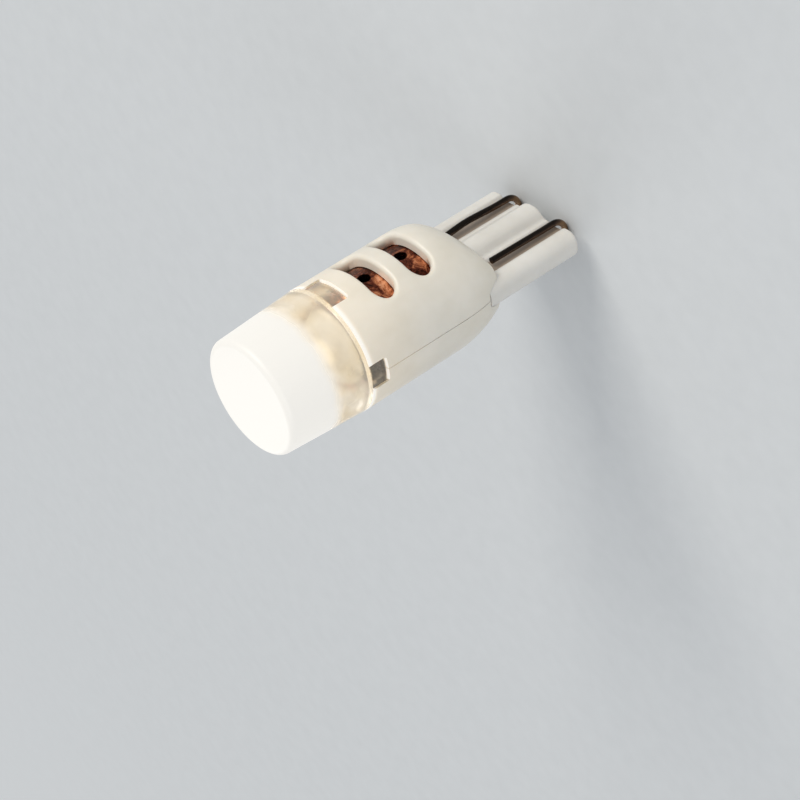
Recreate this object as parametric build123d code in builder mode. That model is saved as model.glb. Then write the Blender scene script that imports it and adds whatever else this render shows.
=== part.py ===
from build123d import *
from math import cos, radians, sin, sqrt
import os

os.makedirs("parts", exist_ok=True)

# Wedge base lamp with a round moulded housing. Sizes are in millimetres.
# Z runs from the tip of the wedge (height 0) to the lens, X across the wedge's width
# and Y through its thickness. The two halves of the housing meet at Y = 0.

# Wedge that plugs into the lamp holder
wedge_length = 7.5  # from the tip to the rear end of the housing
wedge_half_thickness = 1.08
wedge_side_round = 0.9  # on the narrow sides
side_ridge_width = 1.33
side_ridge_round = 0.35
groove_slope = 0.3  # from the side ridge down to the floor of the wire groove
groove_half_thickness = 0.75  # at its floor
ledge_half_thickness = 0.95
ledge_width = 0.4  # between the wire groove and the foot of the centre ridge
ledge_slope = 0.2  # from the ledge down to the floor of the wire groove
ledge_round = 0.3
ridge_flank = 0.7  # from the foot up to the crown of the centre ridge
ridge_crown_half_width = 0.6
ridge_half_thickness = 1.62
ridge_crown_round = 1.2
ridge_foot_round = 0.4
tip_round = 0.22
wedge_side_overlap = 1.2  # how far its full width reaches into the housing
wedge_slot_clearance = 0.02
root_setback = 0.25  # of the root's narrow sides from the bore of the housing
root_half_thickness = 2.6
root_corner_radius = 1.0
root_height = 1.6
seat_clearance = 0.05  # moulded parts in each other

# Housing
body_radius = 5.0
body_overhang = 0.27  # of the round body past each narrow side of the wedge
wall = 0.9
shoulder_length = 3.8
barrel_length = 9.0
rear_setback = 0.45  # of the rear end from the narrow sides of the wedge
rear_half_thickness = 2.62
rear_corner_radius = 0.9
shoulder_fullness = 0.63  # nearer to 1 the shoulder stays round for longer, then turns in faster
shoulder_sections = 5
parting_gap = 0.05
vent_width = 1.9
vent_half_span = 2.75
vent_setback = 4.2  # from the front edge to the middle of the first vent
vent_pitch = 3.43
vent_lip = 0.35
window_depth = 1.57
wide_window = 3.3
narrow_window = 2.11
window_round = 0.25

# Lens
lens_length = 7.1
lens_taper = 0.4  # how much smaller its front is in radius
lens_edge_round = 0.5
lens_side_wall = 1.05
lens_front_wall = 1.1
lens_inner_round = 0.6
spigot_wall = 0.5
spigot_length = 0.8
tab_length = 1.8
tab_clearance = 0.1
hook_height = 1.35
hook_reach = 0.85  # how far a hook stands out into its window
hook_ramp = 0.12
hook_setback = 0.12  # from the front edge of the housing to the hook

# Contact wires
wire_radius = 0.25
wire_stand = 0.15  # off the floor of the groove, so that the springy legs can give
wire_bow = 0.23  # of the springy middle of the fixed leg
wire_bow_height = 4.5
wire_tuck = 0.05  # of the fixed leg where it enters the housing
wire_lift = 0.12  # of the free end
wire_straight = 1.1  # straight stretch above the bend
wire_exit = 0.3  # above the root, where it meets the driver board
wire_reach = 2.0  # above the root, to its upper end
wire_channel_clearance = 0.05
free_end_gap = 1.0  # between the free leg's cut end and the housing
bend_height = 0.4  # centre of the bend round the tip
slow_bend = 9.0
quick_bend = 4.0

# Heat sink
sleeve_gap = 0.06  # to the housing
sleeve_wall = 0.4
sleeve_slope = 0.4
sleeve_lip_setback = 0.4  # from the front edge of the housing
disc_thickness = 0.6
disc_setback = 1.7  # from the front edge of the housing to the disc's front
sight_hole_radius = 0.5
board_slot_clearance = 0.1

# LED board, its pad and the LED
pad_thickness = 0.15
led_board_thickness = 1.2
led_side = 2.5
led_height = 0.65
led_corner = 0.2
led_cavity_radius = 1.05
led_cavity_depth = 0.35
led_cavity_taper = 20
phosphor_setback = 0.05

# Driver board and its pins
board_thickness = 1.0
board_setback = 0.19  # of the board's edges from the outside of the sleeve
board_top_gap = 0.5  # below the disc
tongue_setback = 0.85  # of the tongue's edges from those of the root
tongue_depth = 0.8
pin_inset = 0.6  # from the rim of the LED board
pin_width = 0.4
pin_depth = 0.4
pin_overlap = 1.8  # stretch of a pin that lies on the driver board
pin_stand = 0.3  # above the LED board
pin_clearance = 0.05
pin_cover = 0.12  # solder over a pin on the driver board
pin_passage = 0.15  # round each pin in the metal disc
solder_margin = 0.3
solder_height = 0.65
solder_taper = 28

# Parts on the driver board
chip_width = 1.6
chip_length = 2.9
chip_height = 1.0
chip_stand = 0.1
chip_edge = 0.08
chip_leg_pitch = 0.95
chip_leg_width = 0.4
chip_drop = 1.75  # from the top of the board to its middle
rectifier_width = 1.3
rectifier_length = 2.9
rectifier_height = 1.0
rectifier_leg_pitch = 1.9
rectifier_leg_width = 0.45
rectifier_drop = 3.2
leg_thickness = 0.15
leg_shoulder = 0.25
leg_slant = 0.12
leg_foot = 0.4
resistor_width = 0.5
resistor_length = 1.0
resistor_height = 0.35
resistor_setback = 0.8  # from the board's edge to its middle
capacitor_width = 0.8
capacitor_length = 1.6
capacitor_height = 0.8
capacitor_setback = 1.75  # from the board's edge to the middle of the outer one
capacitor_rise = 1.6  # from the root to the middle of both
terminal_length = 0.25
terminal_proud = 0.04
diode_width = 1.25
diode_length = 1.7
diode_height = 0.8
diode_foot = 0.35
diode_foot_thickness = 0.2
diode_setback = 1.4  # from the board's edge to its middle
diode_rise = 1.45  # from the root to its middle

# Heights that follow
shoulder_top = wedge_length + shoulder_length
housing_front = shoulder_top + barrel_length
lens_front = housing_front + lens_length
wedge_side_top = wedge_length + wedge_side_overlap
root_top = wedge_side_top + root_height
disc_front = housing_front - disc_setback
disc_back = disc_front - disc_thickness
neck_back = disc_back - sleeve_slope
led_board_back = disc_front + pad_thickness
led_board_front = led_board_back + led_board_thickness
board_top = disc_back - board_top_gap
window_rear = housing_front - window_depth
vent_heights = [housing_front - vent_setback, housing_front - vent_setback - vent_pitch]

# Widths, radii and distances that follow
wedge_half_width = body_radius - body_overhang
groove_outer_x = wedge_half_width - side_ridge_width - groove_slope
ridge_foot_x = ridge_crown_half_width + ridge_flank
ledge_outer_x = ridge_foot_x + ledge_width
groove_inner_x = ledge_outer_x + ledge_slope
wire_x = (groove_inner_x + groove_outer_x) / 2
rear_half_width = wedge_half_width - rear_setback
lens_front_radius = body_radius - lens_taper
inner_radius = body_radius - wall
root_half_width = inner_radius - root_setback
tongue_half_width = root_half_width - tongue_setback
spigot_outer = inner_radius - seat_clearance
spigot_inner = spigot_outer - spigot_wall
sleeve_radius = inner_radius - sleeve_gap
sleeve_bore = sleeve_radius - sleeve_wall
neck_radius = spigot_inner - seat_clearance
neck_bore = neck_radius - sleeve_wall
led_board_radius = neck_bore - seat_clearance
board_half_width = sleeve_radius - board_setback
pin_x = led_board_radius - pin_inset
board_face = board_thickness / 2
pin_y = board_face + pin_depth / 2
wire_seat_y = groove_half_thickness + wire_radius + wire_stand
wire_board_y = board_face + wire_radius
past = 1.0  # how far a cutting shape runs past what it cuts

# Each corner of a bowed outline begins where a side's normal has turned by this much
side_turn = 20


def bowed_outline(half_width, half_thickness, corner_radius):
    """Draw a closed outline of tangent arcs: four gently bowed sides and four tighter corners."""
    near = radians(side_turn)
    far = radians(90 - side_turn)
    corner_run = corner_radius * (cos(near) - cos(far))
    bow = 1 - cos(near)
    reach = sin(near)
    across = half_width - corner_run
    along = half_thickness - corner_run
    narrow_radius = (reach * along - bow * across) / (reach**2 - bow**2)
    broad_radius = (reach * across - bow * along) / (reach**2 - bow**2)
    corner_x = half_width - narrow_radius + (narrow_radius - corner_radius) * cos(near)
    corner_y = (narrow_radius - corner_radius) * sin(near)
    with BuildLine() as outline:
        for side in (1, -1):
            narrow_centre = (side * (half_width - narrow_radius), 0)
            broad_centre = (0, side * (half_thickness - broad_radius))
            half_turn = 90 - 90 * side
            CenterArc(narrow_centre, narrow_radius, half_turn - side_turn, 2 * side_turn)
            CenterArc(broad_centre, broad_radius, 90 * side - side_turn, 2 * side_turn)
        for sign_x, sign_y, turn in ((1, 1, 0), (-1, 1, 90), (-1, -1, 180), (1, -1, 270)):
            corner_centre = (sign_x * corner_x, sign_y * corner_y)
            CenterArc(corner_centre, corner_radius, turn + side_turn, 90 - 2 * side_turn)
    make_face(outline.edges())


# Section of the wedge: a domed centre ridge, and on each side of it a narrow ledge,
# the groove for a wire and a rounded side ridge
with BuildSketch() as wedge_section:
    with BuildLine():
        FilletPolyline(
            (0, ridge_half_thickness),
            (ridge_crown_half_width, ridge_half_thickness),
            (ridge_foot_x, ledge_half_thickness),
            (ledge_outer_x, ledge_half_thickness),
            (groove_inner_x, groove_half_thickness),
            (groove_outer_x, groove_half_thickness),
            (groove_outer_x + groove_slope, wedge_half_thickness),
            (wedge_half_width, wedge_half_thickness),
            (wedge_half_width, 0),
            radius=[
                ridge_crown_round,
                ridge_foot_round,
                ledge_round,
                ledge_round,
                side_ridge_round,
                side_ridge_round,
                wedge_side_round,
            ],
        )
        mirror(about=Plane.XZ)
        mirror(about=Plane.YZ)
    make_face()

with BuildSketch() as root_section:
    bowed_outline(root_half_width, root_half_thickness, root_corner_radius)

# Contact wires: the fixed leg comes down from the driver board, bows off the wedge and turns
# round the tip to the other face, where the cut end of the free leg stands a little proud
fixed_leg = [
    (-wire_board_y, root_top + wire_reach),
    (-wire_board_y, root_top + wire_exit),
    (-wire_seat_y + wire_tuck, wedge_length),
    (-wire_seat_y - wire_bow, wire_bow_height),
    (-wire_seat_y, bend_height + wire_straight),
    (-wire_seat_y, bend_height),
]
fixed_leg_bends = [quick_bend, quick_bend, slow_bend, slow_bend]
free_leg = [
    (wire_seat_y, bend_height),
    (wire_seat_y, bend_height + wire_straight),
    (wire_seat_y + wire_lift, wedge_length - free_end_gap),
]
wire_plane = Plane.YZ.offset(wire_x)

with BuildPart() as contact_wire_right:
    with BuildLine(wire_plane) as wire_path:
        FilletPolyline(*fixed_leg, radius=fixed_leg_bends)
        CenterArc((0, bend_height), wire_seat_y, 180, 180)
        FilletPolyline(*free_leg, radius=slow_bend)
    with BuildSketch(Plane(wire_path.line @ 0, z_dir=wire_path.line % 0)):
        Circle(wire_radius)
    sweep(path=wire_path.line)

with BuildPart() as contact_wire_left:
    add(contact_wire_right.part.rotate(Axis.Z, 180))

# Round channels that lead the fixed legs through the root and the rear of the housing
with BuildPart() as wire_channel:
    with BuildLine(wire_plane) as channel_path:
        FilletPolyline(*fixed_leg[:4], radius=fixed_leg_bends[:2])
    with BuildSketch(Plane(channel_path.line @ 0, z_dir=channel_path.line % 0)):
        Circle(wire_radius + wire_channel_clearance)
    sweep(path=channel_path.line)

with BuildPart() as wire_channels:
    add(wire_channel.part)
    add(wire_channel.part.rotate(Axis.Z, 180))

# Wedge base: one moulding, with a root that the housing closes over
with BuildPart() as wedge_base:
    with BuildSketch():
        add(wedge_section.sketch)
    extrude(amount=wedge_side_top)
    fillet(wedge_base.faces().sort_by(Axis.Z)[0].edges(), tip_round)
    with BuildSketch(Plane.XY.offset(wedge_side_top)):
        add(root_section.sketch)
    extrude(amount=root_height)
    with BuildSketch(Plane.XY.offset(root_top)):
        Rectangle(2 * (tongue_half_width + seat_clearance), board_thickness + 2 * seat_clearance)
    extrude(amount=-tongue_depth - seat_clearance, mode=Mode.SUBTRACT)
    add(wire_channels.part, mode=Mode.SUBTRACT)

# Housing, before it is parted into its two halves
with BuildPart() as housing:
    with BuildSketch(Plane.XY.offset(shoulder_top)):
        Circle(body_radius)
    extrude(amount=barrel_length)
    for step in range(shoulder_sections + 1):
        depth = step / shoulder_sections
        drop = 1 - sqrt(1 - (shoulder_fullness * depth) ** 2)
        narrowing = drop / (1 - sqrt(1 - shoulder_fullness**2))
        with BuildSketch(Plane.XY.offset(shoulder_top - shoulder_length * depth)):
            bowed_outline(
                body_radius - (body_radius - rear_half_width) * narrowing,
                body_radius - (body_radius - rear_half_thickness) * narrowing,
                body_radius - (body_radius - rear_corner_radius) * narrowing,
            )
    loft()
    # Vents, drawn out along Y on both broad sides, with rounded outer lips
    with BuildSketch(Plane.XZ):
        with Locations(*[(0, height) for height in vent_heights]):
            SlotOverall(2 * vent_half_span, vent_width)
    extrude(amount=body_radius + past, both=True, mode=Mode.SUBTRACT)
    vent_rims = housing.edges(Select.LAST).filter_by(lambda edge: abs((edge @ 0.5).Y) > wall)
    fillet(vent_rims, vent_lip)
    # Barrel bore, root pocket and the slot that the wedge passes through
    with BuildSketch(Plane.XY.offset(root_top)):
        Circle(inner_radius)
    extrude(amount=housing_front - root_top, mode=Mode.SUBTRACT)
    with BuildSketch(Plane.XY.offset(wedge_side_top)):
        add(root_section.sketch)
        offset(amount=seat_clearance)
    extrude(amount=root_height, mode=Mode.SUBTRACT)
    with BuildSketch(Plane.XY.offset(wedge_length - past)):
        add(wedge_section.sketch)
        offset(amount=wedge_slot_clearance)
    extrude(amount=past + wedge_side_overlap + seat_clearance, mode=Mode.SUBTRACT)
    add(wire_channels.part, mode=Mode.SUBTRACT)
    # Windows for the lens's hooks, open towards the front
    for plane, width in ((Plane.XZ, wide_window), (Plane.YZ, narrow_window)):
        with BuildSketch(plane):
            with Locations((0, window_rear)):
                Rectangle(width, window_depth + past, align=(Align.CENTER, Align.MIN))
            fillet(vertices().group_by(Axis.Z)[0], window_round)
        extrude(amount=body_radius + past, both=True, mode=Mode.SUBTRACT)

with BuildPart() as front_housing:
    add(housing.part)
    split(bisect_by=Plane.XZ.offset(parting_gap / 2), keep=Keep.TOP)

with BuildPart() as rear_housing:
    add(housing.part)
    split(bisect_by=Plane.XZ.offset(-parting_gap / 2), keep=Keep.BOTTOM)

# Lens: a tapered cap with a short spigot, and under each window a tab with a ramped hook
with BuildPart() as lens:
    with BuildSketch(Plane.XZ):
        with BuildLine():
            FilletPolyline(
                (0, lens_front),
                (lens_front_radius, lens_front),
                (body_radius, housing_front),
                (spigot_outer, housing_front),
                (spigot_outer, housing_front - spigot_length),
                (spigot_inner, housing_front - spigot_length),
                (spigot_inner, housing_front),
                (lens_front_radius - lens_side_wall, lens_front - lens_front_wall),
                (0, lens_front - lens_front_wall),
                radius=[lens_edge_round, 0, 0, 0, 0, 0, lens_inner_round],
            )
            Line((0, lens_front - lens_front_wall), (0, lens_front))
        make_face()
    revolve(axis=Axis.Z)
    for width, turn in ((wide_window, 0), (narrow_window, 90)):
        with BuildSketch(Plane.XY.offset(housing_front - tab_length)):
            Circle(spigot_outer)
            Circle(spigot_inner, mode=Mode.SUBTRACT)
            Rectangle(width - 2 * tab_clearance, 2 * body_radius, rotation=turn, mode=Mode.INTERSECT)
        extrude(amount=tab_length)
        with BuildSketch(Plane.XY.offset(housing_front - hook_setback)):
            Circle(spigot_outer + hook_reach)
            Circle(spigot_outer, mode=Mode.SUBTRACT)
            Rectangle(width - 2 * tab_clearance, 2 * body_radius, rotation=turn, mode=Mode.INTERSECT)
        extrude(amount=-hook_height)
    hook_rims = lens.edges().filter_by(GeomType.CIRCLE).filter_by(
        lambda edge: abs(edge.radius - spigot_outer - hook_reach) < seat_clearance
    )
    chamfer(hook_rims.group_by(Axis.Z)[0], hook_ramp)

# Copper heat sink: a drawn sleeve with a narrower neck, closed by a disc under the LED board
with BuildPart() as heat_sink:
    with BuildSketch(Plane.XZ):
        with BuildLine():
            Polyline(
                (0, disc_front),
                (neck_bore, disc_front),
                (neck_bore, housing_front - sleeve_lip_setback),
                (neck_radius, housing_front - sleeve_lip_setback),
                (neck_radius, disc_back),
                (sleeve_radius, neck_back),
                (sleeve_radius, root_top),
                (sleeve_bore, root_top),
                (sleeve_bore, neck_back),
                (neck_bore, disc_back),
                (0, disc_back),
                close=True,
            )
        make_face()
    revolve(axis=Axis.Z)
    # Side slots for the driver board, and gaps in the front lip beside the narrow windows
    slot_width = board_thickness + 2 * board_slot_clearance
    with BuildSketch(Plane.XY.offset(root_top)):
        Rectangle(2 * body_radius, slot_width)
    extrude(amount=disc_back - root_top, mode=Mode.SUBTRACT)
    with BuildSketch(Plane.XY.offset(disc_front)):
        Rectangle(2 * body_radius, narrow_window)
    extrude(amount=disc_setback, mode=Mode.SUBTRACT)
    # A sight hole behind the middle of each vent
    with BuildSketch(Plane.XZ):
        with Locations(*[(0, height) for height in vent_heights]):
            Circle(sight_hole_radius)
    extrude(amount=body_radius, both=True, mode=Mode.SUBTRACT)
    with BuildSketch(Plane.XY.offset(disc_back)):
        with Locations((-pin_x, pin_y), (pin_x, pin_y)):
            Rectangle(pin_width + 2 * pin_passage, pin_depth + 2 * pin_passage)
    extrude(amount=disc_thickness, mode=Mode.SUBTRACT)

with BuildPart() as thermal_pad:
    with BuildSketch(Plane.XY.offset(disc_front)):
        Circle(led_board_radius)
        with Locations((-pin_x, pin_y), (pin_x, pin_y)):
            Rectangle(
                pin_width + 2 * pin_passage, pin_depth + 2 * pin_passage, mode=Mode.SUBTRACT
            )
    extrude(amount=pad_thickness)

with BuildPart() as led_board:
    with BuildSketch(Plane.XY.offset(led_board_back)):
        Circle(led_board_radius)
        with Locations((-pin_x, pin_y), (pin_x, pin_y)):
            Rectangle(
                pin_width + 2 * pin_clearance, pin_depth + 2 * pin_clearance, mode=Mode.SUBTRACT
            )
    extrude(amount=led_board_thickness)

# LED: a square moulded carrier with a round reflector cavity that holds the phosphor
with BuildPart() as led_package:
    with BuildSketch(Plane.XY.offset(led_board_front)):
        RectangleRounded(led_side, led_side, led_corner)
    extrude(amount=led_height)
    with BuildSketch(Plane.XY.offset(led_board_front + led_height)):
        Circle(led_cavity_radius)
    extrude(amount=-led_cavity_depth, taper=led_cavity_taper, mode=Mode.SUBTRACT)

with BuildPart() as led_phosphor:
    with BuildSketch(Plane.XY.offset(led_board_front + led_height)):
        Circle(led_cavity_radius)
    extrude(amount=-led_cavity_depth, taper=led_cavity_taper)
    with BuildSketch(Plane.XY.offset(led_board_front + led_height)):
        Circle(led_cavity_radius + past)
    extrude(amount=-phosphor_setback, mode=Mode.SUBTRACT)

# Driver board: upright between the two wires, its tongue in the root of the wedge base
with BuildPart() as driver_board:
    with BuildSketch(Plane.XZ):
        with Locations((0, root_top)):
            Rectangle(
                2 * board_half_width, board_top - root_top, align=(Align.CENTER, Align.MIN)
            )
            Rectangle(2 * tongue_half_width, tongue_depth, align=(Align.CENTER, Align.MAX))
    extrude(amount=board_face, both=True)

with BuildPart() as feed_pins:
    with BuildSketch(Plane.XY.offset(board_top - pin_overlap)):
        with Locations((-pin_x, pin_y), (pin_x, pin_y)):
            Rectangle(pin_width, pin_depth)
    extrude(amount=led_board_front + pin_stand - board_top + pin_overlap)

# Solder cones where the pins come out of the LED board, and mounds on the driver board
with BuildPart() as pin_mounds:
    with BuildSketch(Plane.XZ.offset(board_face)):
        with Locations((-pin_x, board_top - pin_overlap / 2), (pin_x, board_top - pin_overlap / 2)):
            SlotOverall(pin_overlap, pin_width + solder_margin, rotation=90)
    extrude(amount=pin_depth + pin_cover, taper=solder_taper / 2)

with BuildPart() as feed_solder:
    add(pin_mounds.part.rotate(Axis.Z, 180))
    with BuildSketch(Plane.XY.offset(led_board_front)):
        with Locations((-pin_x, pin_y), (pin_x, pin_y)):
            Circle(pin_width / 2 + solder_margin / 2)
    extrude(amount=pin_stand, taper=solder_taper)
    add(feed_pins.part, mode=Mode.SUBTRACT)

with BuildPart() as wire_solder:
    with BuildSketch(Plane.XZ.offset(board_face)):
        with Locations((wire_x, root_top + (wire_exit + wire_reach) / 2)):
            SlotOverall(
                wire_reach - wire_exit + 2 * solder_margin,
                2 * (wire_radius + solder_margin),
                rotation=90,
            )
    extrude(amount=solder_height, taper=solder_taper)
    add(wire_solder.part.rotate(Axis.Z, 180))
    add(contact_wire_right.part, mode=Mode.SUBTRACT)
    add(contact_wire_left.part, mode=Mode.SUBTRACT)


def leg_pair(body_half_width, middle_height):
    """Draw the bent legs of a chip, left and right, with local Y as the height above the board."""
    outer = body_half_width + leg_shoulder
    toe = outer + leg_slant + leg_foot
    with BuildLine() as outline:
        Polyline(
            (body_half_width, middle_height),
            (outer, middle_height),
            (outer + leg_slant, leg_thickness),
            (toe, leg_thickness),
            (toe, 0),
            (outer + leg_slant - leg_thickness, 0),
            (outer - leg_thickness, middle_height - leg_thickness),
            (body_half_width, middle_height - leg_thickness),
            close=True,
        )
    make_face(outline.edges())
    mirror(about=Plane.YZ)


# Current regulator on the camera's side of the driver board
chip_middle = board_top - chip_drop
with BuildPart() as driver_chip:
    with BuildSketch(Plane.XZ.offset(board_face + chip_stand)):
        with Locations((0, chip_middle)):
            Rectangle(chip_width, chip_length)
    extrude(amount=chip_height)
    chamfer(driver_chip.faces().sort_by(Axis.Y)[0].edges(), chip_edge)

with BuildPart() as driver_chip_legs:
    for row in (-1, 0, 1):
        leg_origin = (0, -board_face, chip_middle + row * chip_leg_pitch)
        with BuildSketch(Plane(leg_origin, x_dir=(1, 0, 0), z_dir=(0, 0, -1))):
            leg_pair(chip_width / 2, chip_stand + chip_height / 2)
        extrude(amount=chip_leg_width / 2, both=True)

# Bridge rectifier on the other side
rectifier_middle = board_top - rectifier_drop
with BuildPart() as bridge_rectifier:
    with BuildSketch(Plane.XZ.offset(-board_face - chip_stand)):
        with Locations((0, rectifier_middle)):
            Rectangle(rectifier_width, rectifier_length)
    extrude(amount=-rectifier_height)
    chamfer(bridge_rectifier.faces().sort_by(Axis.Y)[-1].edges(), chip_edge)

with BuildPart() as bridge_rectifier_legs:
    for row in (-0.5, 0.5):
        leg_origin = (0, board_face, rectifier_middle + row * rectifier_leg_pitch)
        with BuildSketch(Plane(leg_origin, x_dir=(1, 0, 0), z_dir=(0, 0, 1))):
            leg_pair(rectifier_width / 2, chip_stand + rectifier_height / 2)
        extrude(amount=rectifier_leg_width / 2, both=True)

# Chip resistors beside the regulator, and ceramic capacitors below it: each is a block
# between two metal ends that stand slightly proud of it
resistor_x = board_half_width - resistor_setback
with BuildPart() as chip_resistors:
    for side in (-1, 1):
        with BuildSketch(Plane.XZ.offset(board_face)):
            with Locations((side * resistor_x, chip_middle)):
                Rectangle(resistor_width, resistor_length)
        extrude(amount=resistor_height)
        with BuildSketch(Plane.XZ.offset(board_face)):
            with Locations((side * resistor_x, chip_middle)):
                with GridLocations(0, resistor_length - terminal_length, 1, 2):
                    Rectangle(resistor_width + 2 * terminal_proud, terminal_length)
        extrude(amount=resistor_height + terminal_proud)

with BuildPart() as chip_capacitors:
    for column in (capacitor_setback - board_half_width, 0):
        spot = (column, root_top + capacitor_rise)
        with BuildSketch(Plane.XZ.offset(board_face)):
            with Locations(spot):
                Rectangle(capacitor_width, capacitor_length)
        extrude(amount=capacitor_height)
        with BuildSketch(Plane.XZ.offset(board_face)):
            with Locations(spot):
                with GridLocations(0, capacitor_length - terminal_length, 1, 2):
                    Rectangle(capacitor_width + 2 * terminal_proud, terminal_length)
        extrude(amount=capacitor_height + terminal_proud)

# Surge diode beside the rectifier: a moulded block on two flat feet
with BuildPart() as surge_diode:
    spot = (board_half_width - diode_setback, root_top + diode_rise)
    with BuildSketch(Plane.XZ.offset(-board_face)):
        with Locations(spot):
            Rectangle(diode_width / 2, diode_length + 2 * diode_foot)
    extrude(amount=-diode_foot_thickness)
    with BuildSketch(Plane.XZ.offset(-board_face - diode_foot_thickness / 2)):
        with Locations(spot):
            Rectangle(diode_width, diode_length)
    extrude(amount=-diode_height)
    chamfer(surge_diode.faces().sort_by(Axis.Y)[-1].edges(), chip_edge)

for piece, name in (
    (front_housing, "front_housing"),
    (rear_housing, "rear_housing"),
    (lens, "lens"),
    (wedge_base, "wedge_base"),
    (contact_wire_right, "contact_wire_right"),
    (contact_wire_left, "contact_wire_left"),
    (heat_sink, "heat_sink"),
    (thermal_pad, "thermal_pad"),
    (led_board, "led_board"),
    (led_package, "led_package"),
    (led_phosphor, "led_phosphor"),
    (feed_pins, "feed_pins"),
    (feed_solder, "feed_solder"),
    (driver_board, "driver_board"),
    (driver_chip, "driver_chip"),
    (driver_chip_legs, "driver_chip_legs"),
    (bridge_rectifier, "bridge_rectifier"),
    (bridge_rectifier_legs, "bridge_rectifier_legs"),
    (chip_resistors, "chip_resistors"),
    (chip_capacitors, "chip_capacitors"),
    (surge_diode, "surge_diode"),
    (wire_solder, "wire_solder"),
):
    piece.part.label = name
    export_step(piece.part, f"parts/{name}.step")
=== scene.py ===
from math import radians

import bmesh
import bpy
from mathutils import Matrix, Vector


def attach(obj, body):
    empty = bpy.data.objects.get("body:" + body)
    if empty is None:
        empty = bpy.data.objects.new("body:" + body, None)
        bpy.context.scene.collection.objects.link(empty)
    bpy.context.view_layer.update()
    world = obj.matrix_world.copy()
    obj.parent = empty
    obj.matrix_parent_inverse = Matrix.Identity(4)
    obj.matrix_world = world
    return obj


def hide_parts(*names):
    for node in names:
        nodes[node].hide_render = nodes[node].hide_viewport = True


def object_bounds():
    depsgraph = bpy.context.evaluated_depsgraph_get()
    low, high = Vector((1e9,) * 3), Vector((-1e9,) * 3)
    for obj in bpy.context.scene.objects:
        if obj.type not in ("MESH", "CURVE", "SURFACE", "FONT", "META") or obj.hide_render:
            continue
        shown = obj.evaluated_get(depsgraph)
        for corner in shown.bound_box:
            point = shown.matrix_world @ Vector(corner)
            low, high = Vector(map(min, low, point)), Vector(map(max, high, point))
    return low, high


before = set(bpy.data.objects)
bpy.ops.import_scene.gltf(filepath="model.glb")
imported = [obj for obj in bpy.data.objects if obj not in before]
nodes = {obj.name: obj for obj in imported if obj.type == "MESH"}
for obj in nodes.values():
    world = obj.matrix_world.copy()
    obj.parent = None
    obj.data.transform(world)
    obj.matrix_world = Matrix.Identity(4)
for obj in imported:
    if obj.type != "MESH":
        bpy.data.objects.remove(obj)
cad_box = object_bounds()
MM = 0.001

# Heights on the lamp, in millimetres above the tip of the wedge
HOUSING_FRONT = 20.3
WINDOWS_FROM = 18.6  # just behind the rear faces of the windows
WALL_GLOW_FROM = 13.0  # ahead of it, the housing's wall has a painted glow for the LED's light
RIM_FROM, RIM_FULL = 19.7, 20.2  # where the painted glow of the rim starts, and where it is full
FROST_FROM, FROST_FULL = 22.4, 23.9  # where the lens starts to be frosted, and where it fully is
HIGHLIGHT_MIDDLE = 15.45  # the middle of the painted highlight on the copper behind the front vent
HIGHLIGHT_FAINT, HIGHLIGHT_STRONG = 11.0, 15.0  # heights between which the painted highlight gets stronger
BOARD_FACE = 19.86  # just below the white face of the LED board
RESISTORS, CAPACITORS = 15.75, 11.9  # the middles of these chip parts

# Distances on the lamp, in millimetres
OUTSIDE_FROM, OUTSIDE_FULL = 4.55, 4.75  # radii between which the outer part of the wall begins
VENT_PITCH = 3.43
HIGHLIGHT_ASIDE = 1.35  # from the middle of a vent to the middle of its painted highlight
HIGHLIGHT_HALF_WIDTH, HIGHLIGHT_HALF_HEIGHT = 1.2, 0.6  # from the middle of a painted highlight to its ends
CORE_HALF_WIDTH, CORE_HALF_HEIGHT = 0.4, 0.1  # and to where it is no longer full
WIRE_ASIDE = 2.5  # from the middle of the wedge to the middle of each contact wire
GROOVE_SHADE_FULL, GROOVE_SHADE_END = 0.5, 0.72  # how far beside a wire's middle its groove has the painted shade
# From the middle plane of the wedge, which is where Y is 0
GROOVE_SHADE_DEEP, GROOVE_SHADE_OUT = 0.8, 1.0  # the painted brown shade is full to the first, and ends at the second
WIRE_WEDGE_REFLECTION, WIRE_DARK_REFLECTION = 1.0, 1.35  # painted reflection: a wire is brown to the first, and nearly black from the second
NARROW_TABS, WIDE_TABS = 1.5, 3.0  # the narrow tabs lie within the first, the wide ones past the second

# What counts as one corner, in millimetres, and as one flat face and one curve, in degrees
SAME_CORNER = 0.0003
SAME_PLANE = 0.5
SAME_CURVE = 24

# The studio
AIM = (0, 0, 14)  # where the softboxes point, in millimetres: near the middle of the lamp
FLOOR_FADES, FLOOR_FADED = 90, 260  # millimetres off, where it starts to fade, and where it has faded
FLOOR_HALF_WIDTH = 1.5  # metres


def linear(colour):
    """An sRGB hex colour as linear red, green and blue, with 1 for alpha."""
    parts = [int(colour[i:i + 2], 16) / 255 for i in (1, 3, 5)]
    return [p / 12.92 if p <= 0.04045 else ((p + 0.055) / 1.055) ** 2.4 for p in parts] + [1.0]


def add(tree, kind, settings=None, links=None):
    """Adds a node. A setting is a property or an input's value, a link feeds an input from an output.

    The setting "stops" gives a colour ramp its places and colours. A Mix node has its factor at 0,
    its numbers at 2 and 3 and its colours at 6 and 7. It gives a number at output 0 or a colour at
    output 2.
    """
    node = tree.nodes.new("ShaderNode" + kind)
    for name, value in (settings or {}).items():
        if name == "stops":
            ramp = node.color_ramp.elements
            while len(ramp) < len(value):
                ramp.new(0.5)
            for stop, (place, colour) in zip(ramp, value):
                stop.position = place
                stop.color = linear(colour)
        elif isinstance(name, str) and hasattr(node, name):
            setattr(node, name, value)
        else:
            node.inputs[name].default_value = value
    for name, output in (links or {}).items():
        tree.links.new(output, node.inputs[name])
    return node


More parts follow.
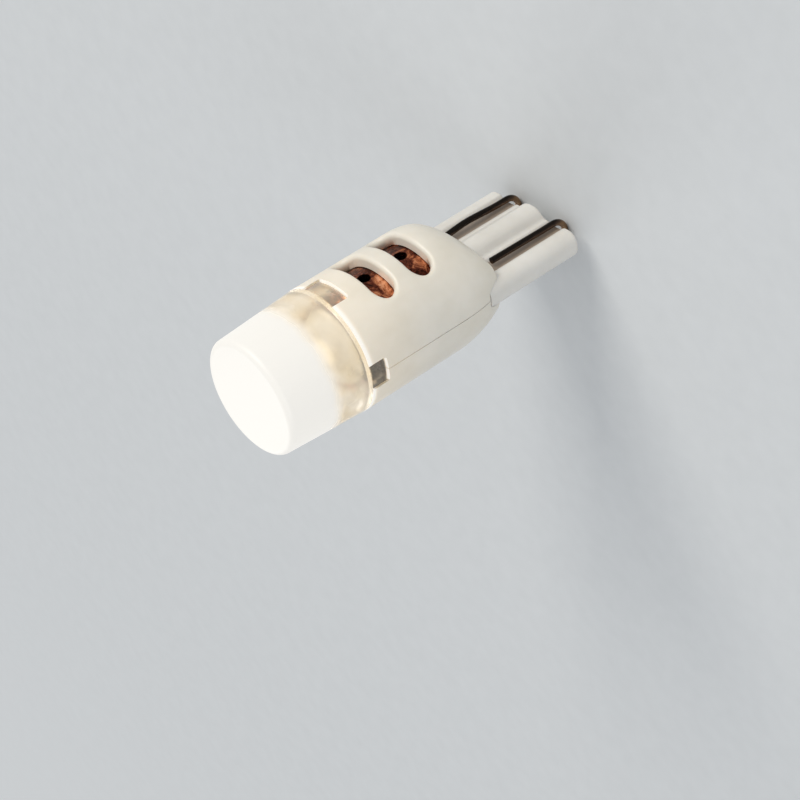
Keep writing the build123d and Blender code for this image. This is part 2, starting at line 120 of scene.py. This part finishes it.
def finish(name, settings):
    """A material with a surface shader. Returns it with its tree, the shader and the place on the piece."""
    material = bpy.data.materials.new(name)
    material.use_nodes = True
    tree = material.node_tree
    tree.nodes.clear()
    shader = add(tree, "BsdfPrincipled", settings)
    add(tree, "OutputMaterial", None, {"Surface": shader.outputs[0]})
    place = add(tree, "TexCoord").outputs["Object"]
    return material, tree, shader, place


# White PBT, injection moulded in a fine spark-eroded tool: semi-gloss, with a very fine grain and
# faint clouding from the melt
def moulded_white(name, light, dark):
    material, tree, shader, place = finish(name, {
        "IOR": 1.55, "Subsurface Weight": 0.12, "Subsurface Radius": (1.0, 0.8, 0.6),
        "Subsurface Scale": 0.5 * MM})
    cloud = add(tree, "TexNoise", {"Scale": 1 / (3.5 * MM), "Detail": 3, "Roughness": 0.6}, {"Vector": place})
    tint = add(tree, "ValToRGB", {"stops": [(0.3, dark), (0.7, light)]}, {"Fac": cloud.outputs["Fac"]})
    grain = add(tree, "TexNoise", {"Scale": 1 / (0.12 * MM), "Detail": 2}, {"Vector": place})
    gloss = add(tree, "MapRange", {"To Min": 0.3, "To Max": 0.42}, {"Value": grain.outputs["Fac"]})
    tree.links.new(gloss.outputs[0], shader.inputs["Roughness"])
    relief = add(tree, "Bump", {"Strength": 0.25, "Distance": 0.004 * MM}, {"Height": grain.outputs["Fac"]})
    tree.links.new(relief.outputs[0], shader.inputs["Normal"])
    return material, tree, shader, place, tint.outputs["Color"]


# The wedge is a neutral white, with a painted brown shade and reflection of each wire on the floors
# and walls of its groove, beside the wire
def wedge_plastic():
    material, tree, shader, place, tint = moulded_white(
        "neutral white PBT, moulded wedge", light="#e6e3dd", dark="#dbd7cf")
    at = add(tree, "SeparateXYZ", None, {0: place})
    aside = add(tree, "Math", {"operation": "ABSOLUTE"}, {0: at.outputs["X"]})
    off_wire = add(tree, "Math", {"operation": "SUBTRACT", 1: WIRE_ASIDE * MM}, {0: aside.outputs[0]})
    away = add(tree, "Math", {"operation": "ABSOLUTE"}, {0: off_wire.outputs[0]})
    groove = add(tree, "MapRange", {
        "interpolation_type": "SMOOTHSTEP", "From Min": GROOVE_SHADE_END * MM, "From Max": GROOVE_SHADE_FULL * MM},
        {"Value": away.outputs[0]})
    depth = add(tree, "Math", {"operation": "ABSOLUTE"}, {0: at.outputs["Y"]})
    low = add(tree, "MapRange", {
        "interpolation_type": "SMOOTHSTEP", "From Min": GROOVE_SHADE_OUT * MM, "From Max": GROOVE_SHADE_DEEP * MM},
        {"Value": depth.outputs[0]})
    both = add(tree, "Math", {"operation": "MULTIPLY"}, {0: groove.outputs[0], 1: low.outputs[0]})
    amount = add(tree, "Math", {"operation": "MULTIPLY", 1: 0.75}, {0: both.outputs[0]})
    # Painted shade: the brown stands for the shade and reflection of the wire in its groove
    painted_groove_shade = add(tree, "Mix", {"data_type": "RGBA", 7: linear("#7f654a")}, {0: amount.outputs[0], 6: tint})
    tree.links.new(painted_groove_shade.outputs[2], shader.inputs["Base Color"])
    return material


# The housing is a warmer white, with a painted glow that stands for the LED's light: faint on the wall
# beside the lit lens, strong on the rim, and on window faces that look at the LED
def housing_plastic():
    material, tree, shader, place, tint = moulded_white(
        "warm white PBT, moulded housing", light="#ece6da", dark="#e2dbcc")
    height = add(tree, "SeparateXYZ", None, {0: place}).outputs["Z"]
    # Painted glow: faint on the wall near the lens, and strong on the rim
    painted_wall_glow = add(tree, "MapRange", {
        "interpolation_type": "SMOOTHSTEP", "From Min": WALL_GLOW_FROM * MM, "From Max": HOUSING_FRONT * MM,
        "To Max": 0.11}, {"Value": height})
    rim = add(tree, "MapRange", {
        "interpolation_type": "SMOOTHSTEP", "From Min": RIM_FROM * MM, "From Max": RIM_FULL * MM,
        "To Max": 0.9}, {"Value": height})
    # Painted glow on faces that look forward, in the outer part of the wall, but none behind the windows
    facing = add(tree, "SeparateXYZ", None, {0: add(tree, "TexCoord").outputs["Normal"]}).outputs["Z"]
    turned = add(tree, "MapRange", {
        "interpolation_type": "SMOOTHSTEP", "From Min": 0.6, "From Max": 0.9}, {"Value": facing})
    near_led = add(tree, "Math", {"operation": "GREATER_THAN", 1: WINDOWS_FROM * MM}, {0: height})
    level = add(tree, "Mapping", {"Scale": (1.0, 1.0, 0.0)}, {"Vector": place})
    radius = add(tree, "VectorMath", {"operation": "LENGTH"}, {0: level.outputs[0]}).outputs["Value"]
    outer = add(tree, "MapRange", {
        "From Min": OUTSIDE_FROM * MM, "From Max": OUTSIDE_FULL * MM}, {"Value": radius})
    ahead = add(tree, "Math", {"operation": "MULTIPLY"}, {0: turned.outputs[0], 1: near_led.outputs[0]})
    faces = add(tree, "Math", {"operation": "MULTIPLY"}, {0: ahead.outputs[0], 1: outer.outputs[0]})
    lit = add(tree, "Math", {"operation": "MAXIMUM"}, {0: faces.outputs[0], 1: rim.outputs[0]})
    bright = add(tree, "Math", {"operation": "MULTIPLY_ADD", 1: 0.6}, {0: lit.outputs[0], 2: painted_wall_glow.outputs[0]})
    tree.links.new(bright.outputs[0], shader.inputs["Emission Strength"])
    warmth = add(tree, "ValToRGB", {"stops": [(0.0, "#ffdca6"), (0.7, "#fffaf2")]}, {"Fac": lit.outputs[0]})
    tree.links.new(warmth.outputs["Color"], shader.inputs["Emission Color"])
    # What has the painted glow takes less of its white from the studio's lights, so that it doesn't burn out
    dimmed = add(tree, "Mix", {"data_type": "RGBA", 7: linear("#a3a099")}, {0: lit.outputs[0], 6: tint})
    tree.links.new(dimmed.outputs[2], shader.inputs["Base Color"])
    return material


# Polycarbonate, moulded: clear behind, so that the rim and the board show through it, and
# sand-blasted at its front, where it scatters the light of the LED and looks lit through
def lens_plastic():
    material, tree, shader, place = finish("polycarbonate lens, clear and frosted", {"IOR": 1.58})
    at = add(tree, "SeparateXYZ", None, {0: place})
    height = at.outputs["Z"]
    # How frosted it is. The edge of the blasting wanders a little.
    ripple = add(tree, "TexNoise", {"Scale": 1 / (1.6 * MM), "Detail": 2}, {"Vector": place})
    sway = add(tree, "MapRange", {"To Min": -0.3 * MM, "To Max": 0.3 * MM}, {"Value": ripple.outputs["Fac"]})
    uneven = add(tree, "Math", {"operation": "ADD"}, {0: height, 1: sway.outputs[0]})
    frost = add(tree, "MapRange", {
        "interpolation_type": "SMOOTHSTEP", "From Min": FROST_FROM * MM, "From Max": FROST_FULL * MM},
        {"Value": uneven.outputs[0]}).outputs[0]
    # The tabs behind the housing's front edge are clearer than the cap
    milky = add(tree, "MapRange", {
        "From Min": (HOUSING_FRONT - 0.1) * MM, "From Max": (HOUSING_FRONT + 0.3) * MM,
        "To Min": 0.95, "To Max": 0.7}, {"Value": height})
    see_through = add(tree, "Mix", {3: 0.08}, {0: frost, 2: milky.outputs[0]})
    tree.links.new(see_through.outputs[0], shader.inputs["Transmission Weight"])
    # Smooth where it is clear, and gritty where it is well frosted
    blast = add(tree, "TexNoise", {"Scale": 1 / (0.1 * MM), "Detail": 2}, {"Vector": place})
    blasted = add(tree, "MapRange", {"From Min": 0.55}, {"Value": frost})
    grit = add(tree, "MapRange", {"To Min": 0.42, "To Max": 0.52}, {"Value": blast.outputs["Fac"]})
    rough = add(tree, "Mix", {2: 0.15}, {0: blasted.outputs[0], 3: grit.outputs[0]})
    tree.links.new(rough.outputs[0], shader.inputs["Roughness"])
    relief = add(tree, "Bump", {"Strength": 0.2, "Distance": 0.004 * MM}, {"Height": blast.outputs["Fac"]})
    tree.links.new(relief.outputs[0], shader.inputs["Normal"])
    # Faint flow lines of the moulding tint the clear part
    flow = add(tree, "TexNoise", {
        "Scale": 1 / (2.4 * MM), "Detail": 1.5, "Distortion": 0.3}, {"Vector": place})
    clear = add(tree, "ValToRGB", {
        "stops": [(0.35, "#eadabb"), (0.62, "#f3ecdf")]}, {"Fac": flow.outputs["Fac"]})
    body = add(tree, "Mix", {
        "data_type": "RGBA", 7: linear("#a09e99")}, {0: frost, 6: clear.outputs["Color"]})
    tree.links.new(body.outputs[2], shader.inputs["Base Color"])
    gleam = add(tree, "MapRange", {
        "From Min": 0.35, "From Max": 0.62, "To Min": 0.09, "To Max": 0.12}, {"Value": flow.outputs["Fac"]})
    # The tabs gleam less, most of all those in the narrow windows, which look towards +X and -X
    across = add(tree, "Math", {"operation": "ABSOLUTE"}, {0: at.outputs["Y"]})
    tabs = add(tree, "MapRange", {
        "From Min": NARROW_TABS * MM, "From Max": WIDE_TABS * MM, "To Min": 0.2, "To Max": 0.9},
        {"Value": across.outputs[0]})
    ahead = add(tree, "MapRange", {
        "From Min": (HOUSING_FRONT - 0.1) * MM, "From Max": HOUSING_FRONT * MM},
        {"Value": height, "To Min": tabs.outputs[0]})
    gleam_ahead = add(tree, "Math", {"operation": "MULTIPLY"}, {0: gleam.outputs[0], 1: ahead.outputs[0]})
    lit = add(tree, "Mix", {3: 0.565}, {0: frost, 2: gleam_ahead.outputs[0]})
    tree.links.new(lit.outputs[0], shader.inputs["Emission Strength"])
    warm = add(tree, "ValToRGB", {"stops": [(0.0, "#fff0d8"), (1.0, "#fffcf6")]}, {"Fac": frost})
    tree.links.new(warm.outputs["Color"], shader.inputs["Emission Color"])
    return material


# Copper sheet, drawn and rolled to a sleeve: dark brown oxide with painted highlights, bright streaks in
# place of reflections, and the drawing's fine crinkles, drawn a little coarser than they are so that they
# show
def drawn_copper():
    material, tree, shader, place = finish("drawn copper, oxidised and rubbed", {"Metallic": 1.0})
    patch = add(tree, "TexNoise", {
        "Scale": 1 / (0.8 * MM), "Detail": 7, "Roughness": 0.75, "Distortion": 0.6}, {"Vector": place})
    # A painted highlight lies behind each vent, on one side of its sight hole
    at = add(tree, "SeparateXYZ", None, {0: place})
    sign = add(tree, "Math", {"operation": "SIGN"}, {0: at.outputs["Y"]})
    aside = add(tree, "Math", {"operation": "MULTIPLY"}, {0: at.outputs["X"], 1: sign.outputs[0]})
    past = add(tree, "Math", {"operation": "SUBTRACT", 1: HIGHLIGHT_ASIDE * MM}, {0: aside.outputs[0]})
    off_centre = add(tree, "Math", {"operation": "ABSOLUTE"}, {0: past.outputs[0]})
    reach = add(tree, "MapRange", {
        "interpolation_type": "SMOOTHSTEP", "From Min": HIGHLIGHT_HALF_WIDTH * MM,
        "From Max": CORE_HALF_WIDTH * MM}, {"Value": off_centre.outputs[0]})
    rise = add(tree, "Math", {"operation": "SUBTRACT", 1: HIGHLIGHT_MIDDLE * MM}, {0: at.outputs["Z"]})
    off_height = add(tree, "Math", {"operation": "PINGPONG", 1: VENT_PITCH / 2 * MM}, {0: rise.outputs[0]})
    band = add(tree, "MapRange", {
        "interpolation_type": "SMOOTHSTEP", "From Min": HIGHLIGHT_HALF_HEIGHT * MM,
        "From Max": CORE_HALF_HEIGHT * MM}, {"Value": off_height.outputs[0]})
    painted_highlight = add(tree, "Math", {"operation": "MULTIPLY"}, {0: reach.outputs[0], 1: band.outputs[0]})
    # The painted highlight behind the front vent is the stronger one
    amount = add(tree, "MapRange", {
        "From Min": HIGHLIGHT_FAINT * MM, "From Max": HIGHLIGHT_STRONG * MM, "To Min": 0.06, "To Max": 0.17},
        {"Value": at.outputs["Z"]})
    lift = add(tree, "Math", {"operation": "MULTIPLY"}, {0: painted_highlight.outputs[0], 1: amount.outputs[0]})
    shade = add(tree, "Math", {"operation": "ADD"}, {0: lift.outputs[0], 1: patch.outputs["Fac"]})
    colour = add(tree, "ValToRGB", {
        "stops": [(0.4, "#2e150e"), (0.52, "#70392a"), (0.62, "#d08259"), (0.7, "#f4b48c")]},
        {"Fac": shade.outputs[0]})
    tree.links.new(colour.outputs["Color"], shader.inputs["Base Color"])
    worn = add(tree, "MapRange", {
        "From Min": 0.3, "From Max": 0.7, "To Min": 0.42, "To Max": 0.2}, {"Value": patch.outputs["Fac"]})
    tree.links.new(worn.outputs[0], shader.inputs["Roughness"])
    crinkle = add(tree, "TexNoise", {
        "Scale": 1 / (0.25 * MM), "Detail": 4, "Roughness": 0.6, "Distortion": 1.2}, {"Vector": place})
    relief = add(tree, "Bump", {"Strength": 0.8, "Distance": 0.04 * MM}, {"Height": crinkle.outputs["Fac"]})
    tree.links.new(relief.outputs[0], shader.inputs["Normal"])
    return material


# Nickel-iron contact wire, thinly tinned and drawn: smooth, with a painted reflection, nearly black outside
# for dark surroundings, and brown on the side towards the wedge, for the wedge
def contact_wire():
    material, tree, shader, place = finish("darkened nickel-iron wire, thinly tinned", {"Metallic": 1.0})
    # Painted reflection: brown on the side towards the wedge, nearly black on the outer side
    across = add(tree, "SeparateXYZ", None, {0: place}).outputs["Y"]
    out = add(tree, "Math", {"operation": "ABSOLUTE"}, {0: across})
    cloud = add(tree, "TexNoise", {"Scale": 1 / (0.6 * MM), "Detail": 3}, {"Vector": place})
    sway = add(tree, "MapRange", {"To Min": -0.08 * MM, "To Max": 0.08 * MM}, {"Value": cloud.outputs["Fac"]})
    depth = add(tree, "Math", {"operation": "ADD"}, {0: out.outputs[0], 1: sway.outputs[0]})
    side = add(tree, "MapRange", {
        "From Min": WIRE_WEDGE_REFLECTION * MM, "From Max": WIRE_DARK_REFLECTION * MM}, {"Value": depth.outputs[0]})
    colour = add(tree, "ValToRGB", {
        "stops": [(0.0, "#8a6d52"), (0.55, "#54443a"), (1.0, "#241f1c")]}, {"Fac": side.outputs[0]})
    tree.links.new(colour.outputs["Color"], shader.inputs["Base Color"])
    worn = add(tree, "MapRange", {"To Min": 0.16, "To Max": 0.28}, {"Value": cloud.outputs["Fac"]})
    tree.links.new(worn.outputs[0], shader.inputs["Roughness"])
    # Marks of the die run along the wire
    along = add(tree, "Mapping", {"Scale": (1.0, 1.0, 0.1)}, {"Vector": place})
    drawn = add(tree, "TexNoise", {"Scale": 1 / (0.15 * MM), "Detail": 2}, {"Vector": along.outputs[0]})
    relief = add(tree, "Bump", {"Strength": 0.15, "Distance": 0.003 * MM}, {"Height": drawn.outputs["Fac"]})
    tree.links.new(relief.outputs[0], shader.inputs["Normal"])
    return material


# A bright metal whose colour wanders between two tones, with a fine mark on its surface
def plain_metal(name, light, dark, gloss, mark):
    material, tree, shader, place = finish(name, {"Metallic": 1.0})
    tone = add(tree, "TexNoise", {"Scale": 1 / (mark * MM), "Detail": 4}, {"Vector": place})
    colour = add(tree, "ValToRGB", {"stops": [(0.35, dark), (0.65, light)]}, {"Fac": tone.outputs["Fac"]})
    tree.links.new(colour.outputs["Color"], shader.inputs["Base Color"])
    worn = add(tree, "MapRange", {
        "To Min": gloss - 0.06, "To Max": gloss + 0.1}, {"Value": tone.outputs["Fac"]})
    tree.links.new(worn.outputs[0], shader.inputs["Roughness"])
    relief = add(tree, "Bump", {"Strength": 0.3, "Distance": 0.004 * MM}, {"Height": tone.outputs["Fac"]})
    tree.links.new(relief.outputs[0], shader.inputs["Normal"])
    return material


# A matt body with a speckle: moulding compound, silicone or polyamide
def plain_body(name, light, dark, gloss, grain):
    material, tree, shader, place = finish(name, {"IOR": 1.5})
    speck = add(tree, "TexNoise", {"Scale": 1 / (grain * MM), "Detail": 3}, {"Vector": place})
    colour = add(tree, "ValToRGB", {"stops": [(0.35, dark), (0.65, light)]}, {"Fac": speck.outputs["Fac"]})
    tree.links.new(colour.outputs["Color"], shader.inputs["Base Color"])
    worn = add(tree, "MapRange", {
        "To Min": gloss - 0.08, "To Max": gloss + 0.08}, {"Value": speck.outputs["Fac"]})
    tree.links.new(worn.outputs[0], shader.inputs["Roughness"])
    relief = add(tree, "Bump", {"Strength": 0.3, "Distance": 0.005 * MM}, {"Height": speck.outputs["Fac"]})
    tree.links.new(relief.outputs[0], shader.inputs["Normal"])
    return material


# Phosphor in silicone: a yellow face, alight, with a fine speckle of its powder
def lit_phosphor():
    material, tree, shader, place = finish("yellow phosphor in silicone, lit", {
        "Roughness": 0.35, "IOR": 1.41, "Emission Color": linear("#fff6e4"), "Emission Strength": 0.6})
    speck = add(tree, "TexNoise", {"Scale": 1 / (0.06 * MM), "Detail": 2}, {"Vector": place})
    colour = add(tree, "ValToRGB", {
        "stops": [(0.3, "#c4b78e"), (0.7, "#cfc4a2")]}, {"Fac": speck.outputs["Fac"]})
    tree.links.new(colour.outputs["Color"], shader.inputs["Base Color"])
    return material


# Aluminium-core board: dark grey brushed metal at its edge, a white solder mask on its face
def aluminium_board():
    material, tree, shader, place = finish("aluminium-core board, white mask", {})
    height = add(tree, "SeparateXYZ", None, {0: place}).outputs["Z"]
    face = add(tree, "Math", {"operation": "GREATER_THAN", 1: BOARD_FACE * MM}, {0: height}).outputs[0]
    stretched = add(tree, "Mapping", {"Scale": (0.08, 0.08, 1.0)}, {"Vector": place})
    brushed = add(tree, "TexNoise", {"Scale": 1 / (0.08 * MM), "Detail": 2}, {"Vector": stretched.outputs[0]})
    metal = add(tree, "ValToRGB", {
        "stops": [(0.3, "#45484b"), (0.7, "#74787b")]}, {"Fac": brushed.outputs["Fac"]})
    colour = add(tree, "Mix", {
        "data_type": "RGBA", 7: linear("#efefeb")}, {0: face, 6: metal.outputs["Color"]})
    tree.links.new(colour.outputs[2], shader.inputs["Base Color"])
    bare = add(tree, "Math", {"operation": "SUBTRACT", 0: 1.0}, {1: face})
    tree.links.new(bare.outputs[0], shader.inputs["Metallic"])
    worn = add(tree, "MapRange", {"To Min": 0.3, "To Max": 0.5}, {"Value": brushed.outputs["Fac"]})
    tree.links.new(worn.outputs[0], shader.inputs["Roughness"])
    relief = add(tree, "Bump", {"Strength": 0.3, "Distance": 0.004 * MM}, {"Height": brushed.outputs["Fac"]})
    tree.links.new(relief.outputs[0], shader.inputs["Normal"])
    return material


# Glass-fibre board with a green solder mask: the weave of the cloth shows faintly through it
def fibre_board():
    material, tree, shader, place = finish("green glass-fibre board", {"IOR": 1.5, "Roughness": 0.3})
    # A wave texture has 20 bands to its unit at a scale of 1, so this is one thread each 0.25 mm
    threads = 0.05 / (0.25 * MM)
    warp = add(tree, "TexWave", {
        "bands_direction": "X", "Scale": threads, "Distortion": 0.5}, {"Vector": place})
    weft = add(tree, "TexWave", {
        "bands_direction": "Z", "Scale": threads, "Distortion": 0.5}, {"Vector": place})
    weave = add(tree, "Math", {"operation": "MULTIPLY"}, {0: warp.outputs["Fac"], 1: weft.outputs["Fac"]})
    colour = add(tree, "ValToRGB", {"stops": [(0.0, "#1f5a38"), (1.0, "#2f7a4c")]}, {"Fac": weave.outputs[0]})
    tree.links.new(colour.outputs["Color"], shader.inputs["Base Color"])
    relief = add(tree, "Bump", {"Strength": 0.3, "Distance": 0.01 * MM}, {"Height": weave.outputs[0]})
    tree.links.new(relief.outputs[0], shader.inputs["Normal"])
    return material


# A glazed ceramic chip part between two tinned ends, told apart by the height along it
def chip_part(name, middle, half_body, light, dark):
    material, tree, shader, place = finish(name, {"IOR": 1.6})
    height = add(tree, "SeparateXYZ", None, {0: place}).outputs["Z"]
    off_middle = add(tree, "Math", {"operation": "SUBTRACT", 1: middle * MM}, {0: height})
    away = add(tree, "Math", {"operation": "ABSOLUTE"}, {0: off_middle.outputs[0]})
    end = add(tree, "Math", {"operation": "GREATER_THAN", 1: half_body * MM}, {0: away.outputs[0]}).outputs[0]
    speck = add(tree, "TexNoise", {"Scale": 1 / (0.1 * MM), "Detail": 3}, {"Vector": place})
    body = add(tree, "ValToRGB", {"stops": [(0.35, dark), (0.65, light)]}, {"Fac": speck.outputs["Fac"]})
    colour = add(tree, "Mix", {"data_type": "RGBA", 7: linear("#c3c4c2")}, {0: end, 6: body.outputs["Color"]})
    tree.links.new(colour.outputs[2], shader.inputs["Base Color"])
    tree.links.new(end, shader.inputs["Metallic"])
    worn = add(tree, "MapRange", {"To Min": 0.3, "To Max": 0.5}, {"Value": speck.outputs["Fac"]})
    tree.links.new(worn.outputs[0], shader.inputs["Roughness"])
    return material


def dress(name, material, slack=None):
    """A copy of a CAD solid with its triangles joined, its flat faces whole and its curves smooth.

    A copy with slack is that many millimetres smaller all round.
    """
    shape = bmesh.new()
    shape.from_mesh(nodes[name].data)
    bmesh.ops.remove_doubles(shape, verts=shape.verts, dist=SAME_CORNER * MM)
    bmesh.ops.dissolve_limit(
        shape, angle_limit=radians(SAME_PLANE), verts=shape.verts, edges=shape.edges)
    if slack:
        shape.normal_update()
        inward = [(vert, vert.normal * slack * MM) for vert in shape.verts]
        for vert, shift in inward:
            vert.co -= shift
    mesh = bpy.data.meshes.new(name + "_finished")
    shape.to_mesh(mesh)
    shape.free()
    mesh.materials.clear()
    mesh.materials.append(material)
    mesh.shade_smooth()
    mesh.set_sharp_from_angle(angle=radians(SAME_CURVE))
    made = bpy.data.objects.new(mesh.name, mesh)
    bpy.context.scene.collection.objects.link(made)
    even = made.modifiers.new("even shading", "WEIGHTED_NORMAL")
    even.keep_sharp = True
    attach(made, "root")
    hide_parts(name)


def coat(name, material):
    """Gives a CAD node that stays as it is a finish of its own."""
    slots = nodes[name].data.materials
    slots.clear()
    slots.append(material)


housing_white = housing_plastic()
wire_metal = contact_wire()
# Tin-plated copper alloy, stamped: pale and slightly cloudy
tin_plate = plain_metal("tin-plated legs", "#cfcfcb", "#a9aaa8", gloss=0.3, mark=0.25)
# Lead-free solder: bright where it flowed, frosty where it froze
solder = plain_metal("lead-free solder", "#c8c9ca", "#9d9fa1", gloss=0.26, mark=0.3)
# Epoxy moulding compound: black, matt, with a fine speckle of its filler
black_epoxy = plain_body("black epoxy moulding compound", "#262628", "#161617", gloss=0.55, grain=0.08)
# Silicone pad filled with ceramic: mid grey and dull
silicone_pad = plain_body("grey filled silicone pad", "#8d9194", "#7b7f82", gloss=0.7, grain=0.1)
# White polyamide that carries the LED: very white, satin
white_carrier = plain_body("white polyamide LED carrier", "#f0efea", "#e8e6e0", gloss=0.4, grain=0.1)
# Thick-film resistors: black glaze. Ceramic capacitors: light brown, dull.
resistor_body = chip_part(
    "thick-film resistor, tinned ends", RESISTORS, half_body=0.25, light="#26272b", dark="#18191c")
capacitor_body = chip_part(
    "brown ceramic capacitor, tinned ends", CAPACITORS, half_body=0.55, light="#b58a57", dark="#9a7042")

dress("front_housing", housing_white)
dress("rear_housing", housing_white)
dress("wedge_base", wedge_plastic())
# The lens is a hair smaller, so that faces that touch in the CAD don't share one place
dress("lens", lens_plastic(), slack=0.012)
dress("contact_wire_right", wire_metal)
dress("contact_wire_left", wire_metal)
dress("heat_sink", drawn_copper())
dress("led_board", aluminium_board())
dress("led_package", white_carrier)
dress("feed_solder", solder)
dress("wire_solder", solder)
coat("led_phosphor", lit_phosphor())
coat("thermal_pad", silicone_pad)
coat("feed_pins", tin_plate)
coat("driver_board", fibre_board())
coat("driver_chip", black_epoxy)
coat("driver_chip_legs", tin_plate)
coat("bridge_rectifier", black_epoxy)
coat("bridge_rectifier_legs", tin_plate)
coat("chip_resistors", resistor_body)
coat("chip_capacitors", capacitor_body)
coat("surge_diode", black_epoxy)


def seen(tree):
    """1 for what the camera sees, itself or in metal and through glass, 0 for what only lights the lamp."""
    path = add(tree, "LightPath")
    direct = add(tree, "Math", {"operation": "MAXIMUM"}, {
        0: path.outputs["Is Camera Ray"], 1: path.outputs["Is Glossy Ray"]})
    return add(tree, "Math", {"operation": "MAXIMUM"}, {
        0: direct.outputs[0], 1: path.outputs["Is Transmission Ray"]}).outputs[0]


# Floor: plain pale paper at the height of the wires' lowest point, matt, with a faint cloud of its
# fibres, which fades far off into the backdrop
floor_height = cad_box[0].z
paper, tree, shader, place = finish("pale grey paper", {"Roughness": 0.95, "Specular IOR Level": 0.1})
fibre = add(tree, "TexNoise", {"Scale": 1 / (1.5 * MM), "Detail": 3}, {"Vector": place})
tone = add(tree, "ValToRGB", {"stops": [(0.2, "#cfd2d4"), (0.8, "#d3d6d8")]}, {"Fac": fibre.outputs["Fac"]})
tree.links.new(tone.outputs["Color"], shader.inputs["Base Color"])
distance = add(tree, "VectorMath", {"operation": "LENGTH"}, {0: place}).outputs["Value"]
far = add(tree, "MapRange", {
    "interpolation_type": "SMOOTHSTEP", "From Min": FLOOR_FADES * MM, "From Max": FLOOR_FADED * MM},
    {"Value": distance})
fades = add(tree, "Math", {"operation": "MULTIPLY"}, {0: far.outputs[0], 1: seen(tree)})
haze = add(tree, "Emission", {"Color": linear("#cbced0")})
blend = add(tree, "MixShader", None, {0: fades.outputs[0], 1: shader.outputs[0], 2: haze.outputs[0]})
tree.links.new(blend.outputs[0], tree.nodes["Material Output"].inputs["Surface"])
sheet = bmesh.new()
bmesh.ops.create_grid(sheet, x_segments=1, y_segments=1, size=FLOOR_HALF_WIDTH,
                      matrix=Matrix.Translation((0, 0, floor_height)))
floor_mesh = bpy.data.meshes.new("floor")
sheet.to_mesh(floor_mesh)
sheet.free()
floor_mesh.materials.append(paper)
floor = bpy.data.objects.new("floor", floor_mesh)
bpy.context.scene.collection.objects.link(floor)

# World: an even light, and a backdrop as pale as the floor where it is seen or mirrored
world = bpy.data.worlds.new("pale room")
bpy.context.scene.world = world
world.use_nodes = True
tree = world.node_tree
tree.nodes.clear()
room = add(tree, "Background", {"Color": linear("#f4f6f8"), "Strength": 0.62})
backdrop = add(tree, "Background", {"Color": linear("#d0d3d5"), "Strength": 1.0})
both = add(tree, "MixShader", None, {0: seen(tree), 1: room.outputs[0], 2: backdrop.outputs[0]})
add(tree, "OutputWorld", None, {"Surface": both.outputs[0]})


def softbox(name, position, size, power, colour):
    """A large square light, turned towards the lamp. Its place and its side are in millimetres."""
    light = bpy.data.lights.new(name, "AREA")
    light.size = size * MM
    light.energy = power
    light.color = linear(colour)[:3]
    made = bpy.data.objects.new(name, light)
    made.location = Vector(position) * MM
    back = Vector(position) - Vector(AIM)
    made.rotation_mode = "QUATERNION"
    made.rotation_quaternion = back.to_track_quat("Z", "Y")
    bpy.context.scene.collection.objects.link(made)


softbox("key", (100, -430, 270), size=260, power=1.34, colour="#fffaf2")
softbox("fill", (-400, 60, 240), size=260, power=0.32, colour="#f4f8ff")
softbox("back", (250, 400, 270), size=300, power=0.5, colour="#ffffff")

# Camera at the photograph's angle: the columns are its right, its up, its back and its place
camera = bpy.data.cameras.new("camera")
camera.sensor_width = 36.0
camera.lens = 121.06
camera.clip_start = 0.01
camera.clip_end = 10.0
eye = bpy.data.objects.new("camera", camera)
eye.matrix_world = Matrix((
    (-0.6532, 0.4047, -0.6400, -0.12655),
    (0.1221, -0.7778, -0.6165, -0.11400),
    (-0.7473, -0.4809, 0.4587, 0.10533),
    (0.0, 0.0, 0.0, 1.0),
))
bpy.context.scene.collection.objects.link(eye)
bpy.context.scene.camera = eye
bpy.context.scene.view_settings.view_transform = "Standard"
